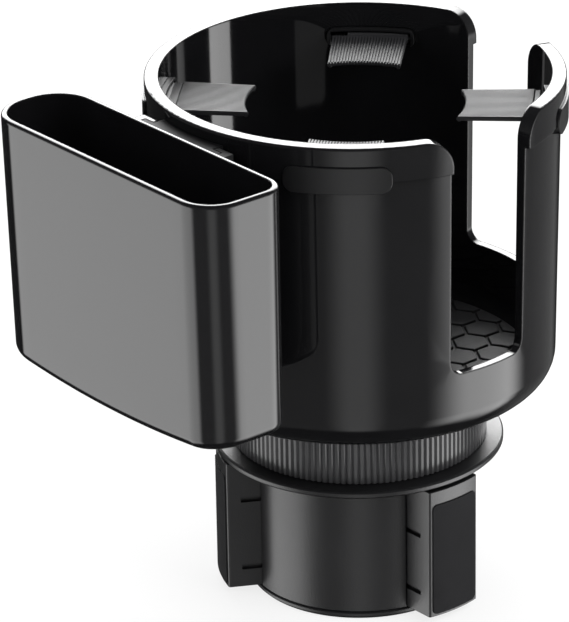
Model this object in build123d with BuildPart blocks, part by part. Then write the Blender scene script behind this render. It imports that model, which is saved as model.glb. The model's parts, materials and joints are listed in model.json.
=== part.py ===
from build123d import *
import math
import os

os.makedirs("parts", exist_ok=True)

# Car cup holder that plugs into a smaller holder and clamps there with three feet.
# Millimetres, +Z up. The origin is the centre of the base's underside, on the cup's axis.
# The side box hangs on -X, the handle slots open towards -Y and +X.

# Cup
rim_radius = 55.0
rim_height = 145.3
rim_thickness = 3.7
band_height = 9.4
band_proud = 1.4
wall_draft = 1.0
inner_draft = 0.9
floor_thickness = 2.5
cup_outer_fillet = 8.5
cup_inner_fillet = 6.0
rim_edge_fillet = 0.6

# Handle slots in the cup wall
slot_azimuths = (-90.0, 0.0)
slot_half_angle = 13.4
slot_sill = 17.3
slot_corner_radius = 4.0
slot_mouth_radius = 8.0
slot_overcut = 3.0

# Sprung flaps inside the rim
flap_azimuths = {"front_left": -135.0, "front_right": -45.0, "rear_right": 45.0, "rear_left": 135.0}
hinge_inset = 1.7
hinge_drop = 9.5
hinge_pin_radius = 0.8
hinge_bore_clearance = 0.06
flap_barrel_radius = 1.4
flap_barrel_gap = 0.35
flap_root_half_width = 10.2
flap_tip_half_width = 9.7
flap_thickness = 1.55
flap_tip_radius = 28.0
flap_droop = 3.0
spring_length = 3.6
spring_coils = 2
spring_wire_radius = 0.3
spring_pin_gap = 0.12
spring_side_gap = 0.2

# Plugs that carry the flaps
plug_half_width = 11.9
plug_below_hinge = 2.3
plug_above_hinge = 2.5
plug_corner_radius = 1.8
plug_proud_inside = 1.6
plug_side_wall = 1.1
plug_fit = 0.1
bezel_half_width = 13.8
bezel_below_hinge = 2.5
bezel_above_hinge = 4.5
bezel_corner_radius = 2.8
bezel_proud = 0.6

# Mat on the cup's floor
mat_edge_gap = 4.0
mat_thickness = 1.6
mat_seat_clearance = 0.1

# Base housing and its cover
base_radius = 29.9
base_height = 42.1
flange_overhang = 4.5
flange_thickness = 2.0
flange_edge_chamfer = 0.5
cover_thickness = 2.0
cover_edge_chamfer = 0.8
cover_seam_chamfer = 0.4
housing_wall = 2.0
housing_roof = 2.6
screw_boss_radius = 3.2
cover_screw_inset = 8.4

# Feet
foot_azimuths = (-89.0, 31.0, 151.0)
foot_half_width = 8.4
foot_reach = 8.7
foot_tail = 7.5
foot_floor_gap = 0.4
foot_top_gap = 0.3
foot_travel = 5.5
foot_corner_radius = 0.6
channel_clearance = 0.3
foot_groove_low_rise = {"left": 6.1, "right": 5.7}
foot_groove_high_rise = {"left": 23.0, "right": 25.8}
foot_groove_width = 1.3
foot_groove_depth = 1.0
foot_groove_inset = 4.6
pad_proud = 0.3
pad_thickness = 1.4
pad_side_margin = 0.9
pad_low_margin = 0.7
pad_top_margin = 3.9
pad_corner_radius = 1.4

# Ring, cam disc and the pins between disc and feet
running_gap = 0.25
grip_radius = 34.4
grip_height = 16.9
grip_wall = 2.9
grip_rib_count = 130
grip_groove_depth = 0.5
cam_thickness = 2.2
cam_turn = 90.0
hub_radius = 9.0
hub_core_radius = 2.4
hub_core_roof = 3.5
hub_clearance = 0.3
follower_radius = 1.5
follower_inset = 5.9
follower_clearance = 0.3
follower_depth = 6.0
follower_tip_chamfer = 0.3
follower_top_gap = 0.3

# Screws
hub_screw_count = 3
hub_screw_circle = 5.6
hub_screw_radius = 1.3
hub_screw_length = 13.0
cover_screw_radius = 1.2
cover_screw_length = 12.0
countersink_radius = 2.4
pan_head_radius = 2.3
pan_head_height = 1.4
screw_hole_clearance = 0.15
screw_head_chamfer = 0.5

# Side box
box_gap = 5.2
box_depth = 26.6
box_front_draft = 1.1
box_round_end = 45.4
box_round_end_draft = 0.9
box_flat_end = 45.2
box_round_radius = 12.0
box_front_radius = 7.0
box_back_radius = 4.0
box_height = 69.3
box_bottom_sag = 3.0
box_rim_drop = 1.5
box_wall = 1.6
box_floor = 2.0
box_foot_fillet = 3.0
box_rim_fillet = 0.9

# Rail on the cup and the guides on the box
rail_drop = 1.6
rail_height = 44.2
rail_head_half_width = 15.5
rail_head_thickness = 2.8
rail_neck_half_width = 12.0
rail_clearance = 0.3
guide_wall = 2.5
guide_lip = 3.2
guide_lip_thickness = 1.4
ledge_height = 3.0
rail_screw_rises = (8.0, 30.0)
rail_screw_radius = 1.5
rail_screw_head_radius = 3.0
rail_screw_head_height = 1.6
rail_spot_depth = 0.9
rail_screw_tip_cover = 0.8

# Places worked out from the sizes above
band_bottom = rim_height - band_height
rim_inner_radius = rim_radius - rim_thickness
wall_top_radius = rim_radius - band_proud
wall_low_radius = wall_top_radius - wall_draft
inner_low_radius = rim_inner_radius - inner_draft
ring_bottom = base_height + running_gap
ring_top = ring_bottom + grip_height
cup_bottom = ring_top + running_gap
floor_top = cup_bottom + floor_thickness
slot_bottom = floor_top + slot_sill
hinge_radius = rim_inner_radius - hinge_inset
hinge_height = rim_height - hinge_drop
plug_low = hinge_height - plug_below_hinge
plug_high = hinge_height + plug_above_hinge
bezel_low = hinge_height - bezel_below_hinge
bezel_high = hinge_height + bezel_above_hinge
mat_radius = inner_low_radius - mat_edge_gap
flange_radius = grip_radius + flange_overhang
flange_bottom = base_height - flange_thickness
cover_screw_circle = base_radius - cover_screw_inset
foot_outer_radius = base_radius + foot_reach
foot_low = cover_thickness + foot_floor_gap
foot_top = base_height - housing_roof - foot_top_gap
follower_rest_radius = base_radius - follower_inset
foot_inner_reach = follower_rest_radius - foot_tail
pad_half_width = foot_half_width - pad_side_margin
pad_low = foot_low + pad_low_margin
pad_high = foot_top - pad_top_margin
channel_half_width = foot_half_width + channel_clearance
ring_inner_radius = grip_radius - grip_wall
cam_top = ring_bottom + cam_thickness
follower_top = cam_top - follower_top_gap
follower_slot_half = follower_radius + follower_clearance
cam_rate = foot_travel / math.radians(cam_turn)
pad_radius = foot_outer_radius + pad_proud
box_back = rim_radius + box_gap
box_top = rim_height - box_rim_drop
box_bottom = box_top - box_height
rail_top = box_top - rail_drop
rail_bottom = rail_top - rail_height
rail_screw_heights = [rail_bottom + rise for rise in rail_screw_rises]
rail_outer = box_back - rail_clearance
rail_head_inner = rail_outer - rail_head_thickness
rail_screw_seat = inner_low_radius + rail_spot_depth


def keep(piece, name):
    """Label a finished piece and write its file."""
    piece.part.label = name
    export_step(piece.part, f"parts/{name}.step")


def station(azimuth, height=0.0):
    """Plane at an azimuth about the cup's axis: local x points outwards, local y along the rim."""
    turn = math.radians(azimuth)
    return Plane(origin=(0, 0, height), x_dir=(math.cos(turn), math.sin(turn), 0), z_dir=(0, 0, 1))


def facing(azimuth, distance, height=0.0):
    """Upright plane that faces outwards: local x runs along the rim, local y up."""
    turn = math.radians(azimuth)
    outward = (math.cos(turn), math.sin(turn), 0)
    centre = (distance * math.cos(turn), distance * math.sin(turn), height)
    return Plane(origin=centre, x_dir=(-math.sin(turn), math.cos(turn), 0), z_dir=outward)


# Outside of the cup as a solid of revolution, shared by the shell and the rail that seats on it
with BuildPart() as cup_outside:
    with BuildSketch(Plane.XZ):
        with BuildLine():
            outside = FilletPolyline(
                (0, cup_bottom),
                (wall_low_radius, cup_bottom),
                (wall_top_radius, band_bottom),
                radius=cup_outer_fillet,
            )
            Polyline(
                outside @ 1,
                (rim_radius, band_bottom),
                (rim_radius, rim_height),
                (0, rim_height),
                outside @ 0,
            )
        make_face()
    revolve(axis=Axis.Z)

# Space inside the cup
with BuildPart() as cup_inside:
    with BuildSketch(Plane.XZ):
        with BuildLine():
            inside = FilletPolyline(
                (0, floor_top),
                (inner_low_radius, floor_top),
                (rim_inner_radius, rim_height),
                radius=cup_inner_fillet,
            )
            Polyline(inside @ 1, (0, rim_height), inside @ 0)
        make_face()
    revolve(axis=Axis.Z)

# Body of a flap plug at azimuth 0, as it fills its window
with BuildPart() as plug_block:
    plug_middle = (plug_low + plug_high) / 2
    with BuildSketch(facing(0, hinge_radius - flap_barrel_radius - plug_proud_inside, plug_middle)):
        RectangleRounded(2 * plug_half_width, plug_high - plug_low, plug_corner_radius)
    extrude(amount=rim_radius)

# Window for a plug at azimuth 0
with BuildPart() as plug_window:
    with BuildSketch(facing(0, hinge_radius - flap_barrel_radius - plug_proud_inside, plug_middle)):
        RectangleRounded(
            2 * (plug_half_width + plug_fit),
            plug_high - plug_low + 2 * plug_fit,
            plug_corner_radius + plug_fit,
        )
    extrude(amount=rim_radius)


def slot_outline(azimuth, distance):
    """Outline of a handle slot at a distance from the axis, with radial sides and a flared mouth."""
    half_width = distance * math.tan(math.radians(slot_half_angle))
    corner = slot_corner_radius * distance / rim_radius
    mouth = slot_mouth_radius * distance / rim_radius
    diagonal = math.sqrt(0.5)
    top = rim_height + slot_overcut
    with BuildSketch(facing(azimuth, distance)) as outline:
        with BuildLine() as edge:
            Line((0, slot_bottom), (half_width - corner, slot_bottom))
            ThreePointArc(
                (half_width - corner, slot_bottom),
                (half_width - corner + diagonal * corner, slot_bottom + corner - diagonal * corner),
                (half_width, slot_bottom + corner),
            )
            Line((half_width, slot_bottom + corner), (half_width, rim_height - mouth))
            ThreePointArc(
                (half_width, rim_height - mouth),
                (half_width + mouth - diagonal * mouth, rim_height - mouth + diagonal * mouth),
                (half_width + mouth, rim_height),
            )
            Polyline((half_width + mouth, rim_height), (half_width + mouth, top), (0, top))
            mirror(edge.edges(), about=Plane.YZ)
        make_face()
    return outline.sketch.face()


# Cup: wall, band, floor and hub tube in one moulding
with BuildPart() as cup_shell:
    add(cup_outside.part)
    add(cup_inside.part, mode=Mode.SUBTRACT)
    rim_edges = cup_shell.edges().filter_by(GeomType.CIRCLE).group_by(Axis.Z)[-1]
    fillet(rim_edges.sort_by(SortBy.RADIUS)[-1], radius=rim_edge_fillet)
    with BuildSketch(Plane.XY.offset(cup_bottom + floor_thickness / 2)):
        Circle(hub_radius)
    extrude(amount=base_height - cup_bottom - floor_thickness / 2)
    with BuildSketch(Plane.XY.offset(base_height)):
        Circle(hub_core_radius)
    extrude(amount=cup_bottom - base_height - hub_core_roof, mode=Mode.SUBTRACT)
    with BuildSketch(Plane.XY.offset(base_height)):
        with PolarLocations(hub_screw_circle, hub_screw_count):
            Circle(hub_screw_radius)
    extrude(amount=hub_screw_length - flange_thickness, mode=Mode.SUBTRACT)
    for slot_azimuth in slot_azimuths:
        slot_inside = slot_outline(slot_azimuth, inner_low_radius - slot_overcut)
        slot_outside = slot_outline(slot_azimuth, rim_radius + slot_overcut)
        loft([slot_inside, slot_outside], ruled=True, mode=Mode.SUBTRACT)
    for flap_azimuth in flap_azimuths.values():
        add(plug_window.part, rotation=(0, 0, flap_azimuth), mode=Mode.SUBTRACT)
    for screw_height in rail_screw_heights:
        with BuildSketch(facing(180, rim_inner_radius / 2, screw_height)):
            Circle(rail_screw_radius + screw_hole_clearance)
        extrude(amount=rim_radius, mode=Mode.SUBTRACT)
        with BuildSketch(facing(180, rim_inner_radius / 2, screw_height)):
            Circle(rail_screw_head_radius + screw_hole_clearance)
        extrude(amount=rail_screw_seat - rim_inner_radius / 2, mode=Mode.SUBTRACT)
keep(cup_shell, "cup_shell")

# Floor mat; its lower edge is cut back to clear the fillet around the cup's floor
mat_slope_width = cup_inner_fillet - mat_edge_gap
mat_seat_rise = cup_inner_fillet - math.sqrt(cup_inner_fillet**2 - mat_slope_width**2)
mat_slope_height = mat_seat_rise + mat_seat_clearance
with BuildPart() as floor_mat:
    with BuildSketch(Plane.XY.offset(floor_top)):
        Circle(mat_radius)
    extrude(amount=mat_thickness)
    under = floor_mat.faces().sort_by(Axis.Z)[0]
    chamfer(under.edges(), length=mat_slope_width, length2=mat_slope_height, reference=under)
keep(floor_mat, "floor_mat")

# Flap plug at azimuth 0: bezel outside, body through the window, hinge cavity open to the cup
cavity_radius = flap_barrel_radius + flap_barrel_gap
cavity_half_width = plug_half_width - plug_side_wall
with BuildPart() as bezel_ring:
    with BuildSketch(facing(0, rim_radius / 2, (bezel_low + bezel_high) / 2)):
        RectangleRounded(2 * bezel_half_width, bezel_high - bezel_low, bezel_corner_radius)
    extrude(amount=rim_radius)
    with BuildSketch(Plane.XY.offset(bezel_low)):
        Circle(rim_radius + bezel_proud)
    extrude(amount=bezel_high - bezel_low, mode=Mode.INTERSECT)
    add(cup_outside.part, mode=Mode.SUBTRACT)

with BuildPart() as plug_pattern:
    add(plug_block.part)
    with BuildSketch(Plane.XY.offset(plug_low)):
        Circle(rim_radius + bezel_proud)
        Circle(rim_inner_radius - plug_proud_inside, mode=Mode.SUBTRACT)
    extrude(amount=plug_high - plug_low, mode=Mode.INTERSECT)
    add(bezel_ring.part)
    with BuildSketch(Plane.XZ.offset(-cavity_half_width)):
        with Locations((hinge_radius, hinge_height)):
            Circle(cavity_radius)
        cavity_low = plug_low - plug_fit
        cavity_high = hinge_height + cavity_radius
        mouth_reach = hinge_radius - flap_tip_radius
        with Locations((hinge_radius - mouth_reach / 2, (cavity_low + cavity_high) / 2)):
            Rectangle(mouth_reach, cavity_high - cavity_low)
    extrude(amount=2 * cavity_half_width, mode=Mode.SUBTRACT)
    with BuildSketch(Plane.XZ.offset(-plug_half_width)):
        with Locations((hinge_radius, hinge_height)):
            Circle(hinge_pin_radius)
    extrude(amount=2 * plug_half_width, mode=Mode.SUBTRACT)

# Flap at azimuth 0, drawn on its own tilted plane: local x runs from the hinge to the tip
droop = math.radians(flap_droop)
flap_plane = Plane(
    origin=(hinge_radius, 0, hinge_height),
    x_dir=(-math.cos(droop), 0, -math.sin(droop)),
    z_dir=(-math.sin(droop), 0, math.cos(droop)),
)
flap_corner_reach = hinge_radius - math.sqrt(flap_tip_radius**2 - flap_tip_half_width**2)
spring_room = spring_length + 2 * spring_side_gap
barrel_low = -flap_root_half_width
barrel_high = flap_root_half_width - spring_room
with BuildPart() as flap_pattern:
    with BuildSketch(flap_plane):
        with BuildLine():
            Polyline(
                (0, -flap_root_half_width),
                (0, flap_root_half_width),
                (flap_corner_reach + flap_thickness, flap_tip_half_width),
                (flap_corner_reach + flap_thickness, -flap_tip_half_width),
                close=True,
            )
        make_face()
        with Locations((hinge_radius, 0)):
            Circle(flap_tip_radius, mode=Mode.SUBTRACT)
    extrude(amount=flap_thickness)
    with BuildSketch(Plane.XZ.offset(-barrel_high)):
        with Locations((hinge_radius, hinge_height)):
            Circle(flap_barrel_radius)
    extrude(amount=barrel_high - barrel_low)
    with BuildSketch(Plane.XZ.offset(-flap_root_half_width)):
        with Locations((hinge_radius, hinge_height)):
            Circle(cavity_radius)
    extrude(amount=spring_room, mode=Mode.SUBTRACT)
    with BuildSketch(Plane.XZ.offset(-flap_root_half_width)):
        with Locations((hinge_radius, hinge_height)):
            Circle(hinge_pin_radius + hinge_bore_clearance)
    extrude(amount=2 * flap_root_half_width, mode=Mode.SUBTRACT)

# Hinge pin at azimuth 0, pressed into both side walls of its plug
with BuildPart() as pin_pattern:
    with BuildSketch(Plane.XZ.offset(-plug_half_width)):
        with Locations((hinge_radius, hinge_height)):
            Circle(hinge_pin_radius)
    extrude(amount=2 * plug_half_width)

# Torsion coil at azimuth 0, between the flap's barrel and the plug's side wall
spring_radius = hinge_pin_radius + spring_pin_gap + spring_wire_radius
spring_pitch = (spring_length - 2 * spring_wire_radius) / spring_coils
spring_start = barrel_high + spring_side_gap + spring_wire_radius
with BuildPart() as spring_pattern:
    with BuildLine():
        coil = Helix(
            pitch=spring_pitch,
            height=spring_pitch * spring_coils,
            radius=spring_radius,
            center=(hinge_radius, spring_start, hinge_height),
            direction=(0, 1, 0),
        )
    with BuildSketch(Plane(origin=coil @ 0, z_dir=coil % 0)):
        RegularPolygon(spring_wire_radius, 4)
    sweep(is_frenet=True)

for place, azimuth in flap_azimuths.items():
    for pattern, kind in (
        (plug_pattern, "flap_housing"),
        (flap_pattern, "flap"),
        (pin_pattern, "flap_pin"),
        (spring_pattern, "flap_spring"),
    ):
        with BuildPart() as placed:
            add(pattern.part, rotation=(0, 0, azimuth))
        keep(placed, f"{kind}_{place}")

# Ribbed ring turned by hand
with BuildPart() as grip_ring:
    with BuildSketch(Plane.XY.offset(ring_bottom)):
        Circle(grip_radius)
        with PolarLocations(grip_radius, grip_rib_count):
            RegularPolygon(grip_groove_depth, 4, major_radius=True, mode=Mode.SUBTRACT)
        Circle(ring_inner_radius, mode=Mode.SUBTRACT)
    extrude(amount=ring_top - ring_bottom)
keep(grip_ring, "grip_ring")


def cam_point(foot_azimuth, turned, across=0.0):
    """Point of a foot's cam track that its pin meets once the ring has turned by an angle in radians."""
    reach = follower_rest_radius - cam_rate * turned + across
    angle = math.radians(foot_azimuth) + turned
    return reach * math.cos(angle), reach * math.sin(angle)


# Cam disc: each slot spirals inwards by the feet's travel over the ring's turn
cam_steps = 6
cam_angles = [math.radians(cam_turn) * step / cam_steps for step in range(cam_steps + 1)]
with BuildPart() as cam_disc:
    with BuildSketch(Plane.XY.offset(ring_bottom)):
        Circle(ring_inner_radius)
        Circle(hub_radius + hub_clearance, mode=Mode.SUBTRACT)
    extrude(amount=cam_thickness)
    for foot_azimuth in foot_azimuths:
        with BuildSketch(Plane.XY.offset(ring_bottom)):
            with BuildLine():
                outer = Spline([cam_point(foot_azimuth, at, follower_slot_half) for at in cam_angles])
                inner = Spline([cam_point(foot_azimuth, at, -follower_slot_half) for at in cam_angles])
                start_cap = -follower_slot_half / follower_rest_radius
                end_cap = cam_angles[-1] + follower_slot_half / (follower_rest_radius - foot_travel)
                ThreePointArc(outer @ 0, cam_point(foot_azimuth, start_cap), inner @ 0)
                ThreePointArc(outer @ 1, cam_point(foot_azimuth, end_cap), inner @ 1)
            make_face()
        extrude(amount=cam_thickness, mode=Mode.SUBTRACT)
keep(cam_disc, "cam_disc")

# Base housing: flange, cylinder, three channels for the feet and hollows between them
wedge_azimuths = [azimuth + 180.0 / len(foot_azimuths) for azimuth in foot_azimuths]
with BuildPart() as base_housing:
    with BuildSketch(Plane.XY.offset(cover_thickness)):
        Circle(base_radius)
    extrude(amount=base_height - cover_thickness)
    with BuildSketch(Plane.XY.offset(flange_bottom)):
        Circle(flange_radius)
    extrude(amount=flange_thickness)
    housing_edges = base_housing.edges().filter_by(GeomType.CIRCLE)
    chamfer(housing_edges.sort_by(SortBy.RADIUS)[-2:], length=flange_edge_chamfer)
    chamfer(housing_edges.sort_by(Axis.Z)[0], length=cover_seam_chamfer)
    with BuildSketch(Plane.XY.offset(cover_thickness)):
        Circle(base_radius - housing_wall)
        for foot_azimuth in foot_azimuths:
            with Locations(Location((0, 0, 0), (0, 0, foot_azimuth))):
                Rectangle(
                    2 * base_radius,
                    2 * (channel_half_width + housing_wall),
                    align=(Align.MIN, Align.CENTER),
                    mode=Mode.SUBTRACT,
                )
        for wedge_azimuth in wedge_azimuths:
            turn = math.radians(wedge_azimuth)
            with Locations((cover_screw_circle * math.cos(turn), cover_screw_circle * math.sin(turn))):
                Circle(screw_boss_radius, mode=Mode.SUBTRACT)
    extrude(amount=base_height - housing_roof - cover_thickness, mode=Mode.SUBTRACT)
    for foot_azimuth in foot_azimuths:
        with BuildSketch(station(foot_azimuth, cover_thickness)):
            Rectangle(2 * base_radius, 2 * channel_half_width, align=(Align.MIN, Align.CENTER))
        extrude(amount=base_height - housing_roof - cover_thickness, mode=Mode.SUBTRACT)
        with BuildSketch(station(foot_azimuth, base_height)):
            slot_middle = follower_rest_radius - foot_travel / 2
            with Locations((slot_middle, 0)):
                SlotCenterToCenter(foot_travel, 2 * follower_slot_half)
        extrude(amount=-housing_roof, mode=Mode.SUBTRACT)
    with BuildSketch(Plane.XY.offset(base_height)):
        with PolarLocations(hub_screw_circle, hub_screw_count):
            Circle(hub_screw_radius + screw_hole_clearance)
    extrude(amount=-housing_roof, mode=Mode.SUBTRACT)
    for wedge_azimuth in wedge_azimuths:
        with BuildSketch(station(wedge_azimuth, cover_thickness)):
            with Locations((cover_screw_circle, 0)):
                Circle(cover_screw_radius)
        extrude(amount=cover_screw_length, mode=Mode.SUBTRACT)
keep(base_housing, "base_housing")

# Bottom cover, screwed up into the bosses
with BuildPart() as bottom_cover:
    with BuildSketch(Plane.XY):
        Circle(base_radius)
    extrude(amount=cover_thickness)
    chamfer(bottom_cover.edges().sort_by(Axis.Z)[0], length=cover_edge_chamfer)
    chamfer(bottom_cover.edges().sort_by(Axis.Z)[-1], length=cover_seam_chamfer)
    for wedge_azimuth in wedge_azimuths:
        cover_face = station(wedge_azimuth)
        with Locations(Plane(origin=(0, 0, 0), x_dir=cover_face.x_dir, z_dir=(0, 0, -1))):
            with Locations((cover_screw_circle, 0)):
                CounterSinkHole(
                    radius=cover_screw_radius + screw_hole_clearance,
                    counter_sink_radius=countersink_radius,
                    depth=cover_thickness,
                )
keep(bottom_cover, "bottom_cover")

# Screws that hold the bottom cover
for number, wedge_azimuth in enumerate(wedge_azimuths, 1):
    with BuildPart() as cover_screw:
        head_height = countersink_radius - cover_screw_radius
        with BuildSketch(station(wedge_azimuth)):
            with Locations((cover_screw_circle, 0)):
                Circle(cover_screw_radius)
        extrude(amount=cover_thickness + cover_screw_length)
        screw_x = cover_screw_circle * math.cos(math.radians(wedge_azimuth))
        screw_y = cover_screw_circle * math.sin(math.radians(wedge_azimuth))
        with Locations((screw_x, screw_y, screw_hole_clearance + head_height / 2)):
            Cone(countersink_radius - screw_hole_clearance, cover_screw_radius, head_height)
        with BuildSketch(Plane.XY):
            with Locations((screw_x, screw_y)):
                Circle(countersink_radius)
        extrude(amount=screw_hole_clearance, mode=Mode.SUBTRACT)
    keep(cover_screw, f"cover_screw_{number}")

# Screws from the housing up into the hub tube
hub_screw_places = PolarLocations(hub_screw_circle, hub_screw_count).local_locations
for number, spot in enumerate(hub_screw_places, 1):
    with BuildPart() as hub_screw:
        with BuildSketch(Plane.XY.offset(base_height - housing_roof)):
            with Locations((spot.position.X, spot.position.Y)):
                Circle(pan_head_radius)
        extrude(amount=-pan_head_height)
        with BuildSketch(Plane.XY.offset(base_height - housing_roof)):
            with Locations((spot.position.X, spot.position.Y)):
                Circle(hub_screw_radius)
        extrude(amount=hub_screw_length)
        chamfer(hub_screw.edges().sort_by(Axis.Z)[0], length=screw_head_chamfer)
    keep(hub_screw, f"hub_screw_{number}")

# Rubber face of a foot at azimuth 0
with BuildPart() as pad_pattern:
    with BuildSketch(facing(0, base_radius, (pad_low + pad_high) / 2)):
        RectangleRounded(2 * pad_half_width, pad_high - pad_low, pad_corner_radius)
    extrude(amount=foot_outer_radius)
    with BuildSketch(Plane.XY.offset(pad_low)):
        Circle(pad_radius)
        Circle(pad_radius - pad_thickness, mode=Mode.SUBTRACT)
    extrude(amount=pad_high - pad_low, mode=Mode.INTERSECT)

# Sliding foot at azimuth 0, with side grooves, a recess for its face and a hole for its follower pin
with BuildPart() as foot_pattern:
    with BuildSketch(Plane.XY.offset(foot_low)):
        Circle(foot_outer_radius)
        with Locations((foot_inner_reach, 0)):
            Rectangle(
                foot_outer_radius,
                2 * foot_half_width,
                align=(Align.MIN, Align.CENTER),
                mode=Mode.INTERSECT,
            )
    extrude(amount=foot_top - foot_low)
    fillet(foot_pattern.edges().filter_by(Axis.Z).group_by(Axis.X)[-1], radius=foot_corner_radius)
    for flank, side in (("left", -1), ("right", 1)):
        for rise in (foot_groove_low_rise[flank], foot_groove_high_rise[flank]):
            with BuildSketch(Plane.XY.offset(foot_low + rise - foot_groove_width / 2)):
                with Locations((foot_inner_reach, side * foot_half_width)):
                    Rectangle(
                        foot_outer_radius - foot_groove_inset - foot_inner_reach,
                        2 * foot_groove_depth,
                        align=(Align.MIN, Align.CENTER),
                    )
            extrude(amount=foot_groove_width, mode=Mode.SUBTRACT)
    add(pad_pattern.part, mode=Mode.SUBTRACT)
    with BuildSketch(Plane.XY.offset(foot_top)):
        with Locations((follower_rest_radius, 0)):
            Circle(follower_radius)
    extrude(amount=-follower_depth, mode=Mode.SUBTRACT)

# Follower pin at azimuth 0, from the foot through the housing's roof into the cam slot
with BuildPart() as follower_pattern:
    with BuildSketch(Plane.XY.offset(foot_top - follower_depth)):
        with Locations((follower_rest_radius, 0)):
            Circle(follower_radius)
    extrude(amount=follower_top - foot_top + follower_depth)
    chamfer(follower_pattern.edges().sort_by(Axis.Z)[-1], length=follower_tip_chamfer)

for number, azimuth in enumerate(foot_azimuths, 1):
    for pattern, kind in (
        (foot_pattern, "foot"),
        (pad_pattern, "foot_pad"),
        (follower_pattern, "follower_pin"),
    ):
        with BuildPart() as placed:
            add(pattern.part, rotation=(0, 0, azimuth))
        keep(placed, f"{kind}_{number}")


def box_plan(height, inset, end_draft, front_draft):
    """Plan of the side box at a height: full round towards +Y, flat with small corners towards -Y."""
    front = -(box_back + box_depth - front_draft - inset)
    back = -(box_back + inset)
    flat_end = -(box_flat_end - inset)
    round_end = box_round_end - end_draft - inset
    with BuildSketch(Plane.XY.offset(height)) as plan:
        with BuildLine():
            Polyline((back, flat_end), (back, round_end), (front, round_end), (front, flat_end), close=True)
        make_face()
        flat_corners = plan.vertices().group_by(Axis.Y)[0].sort_by(Axis.X)
        round_corners = plan.vertices().group_by(Axis.Y)[-1]
        fillet(flat_corners[0], radius=box_front_radius - inset)
        fillet(flat_corners[-1], radius=box_back_radius - inset)
        fillet(round_corners, radius=box_round_radius - inset)
    return plan.sketch.face()


def box_form(inset):
    """Drafted body of the side box between its lowest point and its rim, drawn in by an inset."""
    with BuildPart() as form:
        low_plan = box_plan(box_bottom, inset, box_round_end_draft, box_front_draft)
        loft([low_plan, box_plan(box_top, inset, 0, 0)])
    return form.part


def box_underside(rise):
    """Everything below the side box's sagging bottom, raised by a thickness."""
    end = box_flat_end + box_round_radius
    end_height = box_bottom + rise + box_bottom_sag * (end / box_flat_end) ** 2
    with BuildPart() as underside:
        with BuildSketch(Plane.YZ.offset(-box_back - 2 * box_depth)):
            with BuildLine():
                ThreePointArc((-end, end_height), (0, box_bottom + rise), (end, end_height))
                Polyline((end, end_height), (end, box_bottom / 2), (-end, box_bottom / 2), (-end, end_height))
            make_face()
        extrude(amount=3 * box_depth)
    return underside.part


# Side box: drafted open box with guides on its back that hook behind the rail
guide_outer = rail_head_half_width + rail_clearance + guide_wall
guide_inner = rail_head_half_width + rail_clearance
guide_front = rail_head_inner - rail_clearance - guide_lip_thickness
with BuildPart() as box_space:
    add(box_form(box_wall))
    add(box_underside(box_floor), mode=Mode.SUBTRACT)

with BuildPart() as side_box:
    add(box_form(0))
    add(box_underside(0), mode=Mode.SUBTRACT)
    fillet(side_box.faces().sort_by(Axis.Z)[0].edges(), radius=box_foot_fillet)
    add(box_space.part, mode=Mode.SUBTRACT)
    fillet(side_box.faces().sort_by(Axis.Z)[-1].outer_wire().edges(), radius=box_rim_fillet)
    with BuildSketch(Plane.XY.offset(rail_bottom)):
        for side in (-1, 1):
            with BuildLine():
                Polyline(
                    (-box_back - box_wall / 2, side * guide_outer),
                    (-guide_front, side * guide_outer),
                    (-guide_front, side * (guide_inner - guide_lip)),
                    (-guide_front - guide_lip_thickness, side * (guide_inner - guide_lip)),
                    (-guide_front - guide_lip_thickness, side * guide_inner),
                    (-box_back - box_wall / 2, side * guide_inner),
                    close=True,
                )
            make_face()
    extrude(amount=rail_top - rail_bottom)
keep(side_box, "side_box")

# Rail plate on the cup's wall: neck against the wall, wider head outside, ledge that the guides stand on
with BuildPart() as rail_plate:
    with BuildSketch(Plane.XY.offset(rail_bottom - ledge_height)):
        with Locations((-rim_inner_radius / 2, 0)):
            Rectangle(
                rail_head_inner - rim_inner_radius / 2,
                2 * rail_neck_half_width,
                align=(Align.MAX, Align.CENTER),
            )
        with Locations((-rail_head_inner, 0)):
            Rectangle(rail_head_thickness, 2 * rail_head_half_width, align=(Align.MAX, Align.CENTER))
    extrude(amount=rail_top - rail_bottom + ledge_height)
    with BuildSketch(Plane.XY.offset(rail_bottom - ledge_height)):
        with Locations((-rim_inner_radius / 2, 0)):
            Rectangle(
                rail_outer - rim_inner_radius / 2,
                2 * guide_outer,
                align=(Align.MAX, Align.CENTER),
            )
    extrude(amount=ledge_height)
    add(cup_outside.part, mode=Mode.SUBTRACT)
    for screw_height in rail_screw_heights:
        with BuildSketch(facing(180, rim_inner_radius / 2, screw_height)):
            Circle(rail_screw_radius)
        extrude(amount=rail_outer - rim_inner_radius / 2 - rail_screw_tip_cover, mode=Mode.SUBTRACT)
keep(rail_plate, "rail_plate")

# Screws from inside the cup into the rail plate
for number, screw_height in enumerate(rail_screw_heights, 1):
    with BuildPart() as rail_screw:
        with BuildSketch(facing(180, rail_screw_seat - rail_screw_head_height, screw_height)):
            Circle(rail_screw_head_radius)
        extrude(amount=rail_screw_head_height)
        chamfer(rail_screw.edges().sort_by(Axis.X)[-1], length=screw_head_chamfer)
        with BuildSketch(facing(180, rail_screw_seat, screw_height)):
            Circle(rail_screw_radius)
        extrude(amount=rail_outer - rail_screw_seat - rail_screw_tip_cover)
    keep(rail_screw, f"rail_screw_{number}")
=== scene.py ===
"""Dresses the car cup holder: moulded finishes, rubber detail, screws, springs, studio and camera."""

import json
import logging
import math
from dataclasses import dataclass, field
from enum import Enum

import bmesh
import bpy
from mathutils import Matrix, Vector


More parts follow.
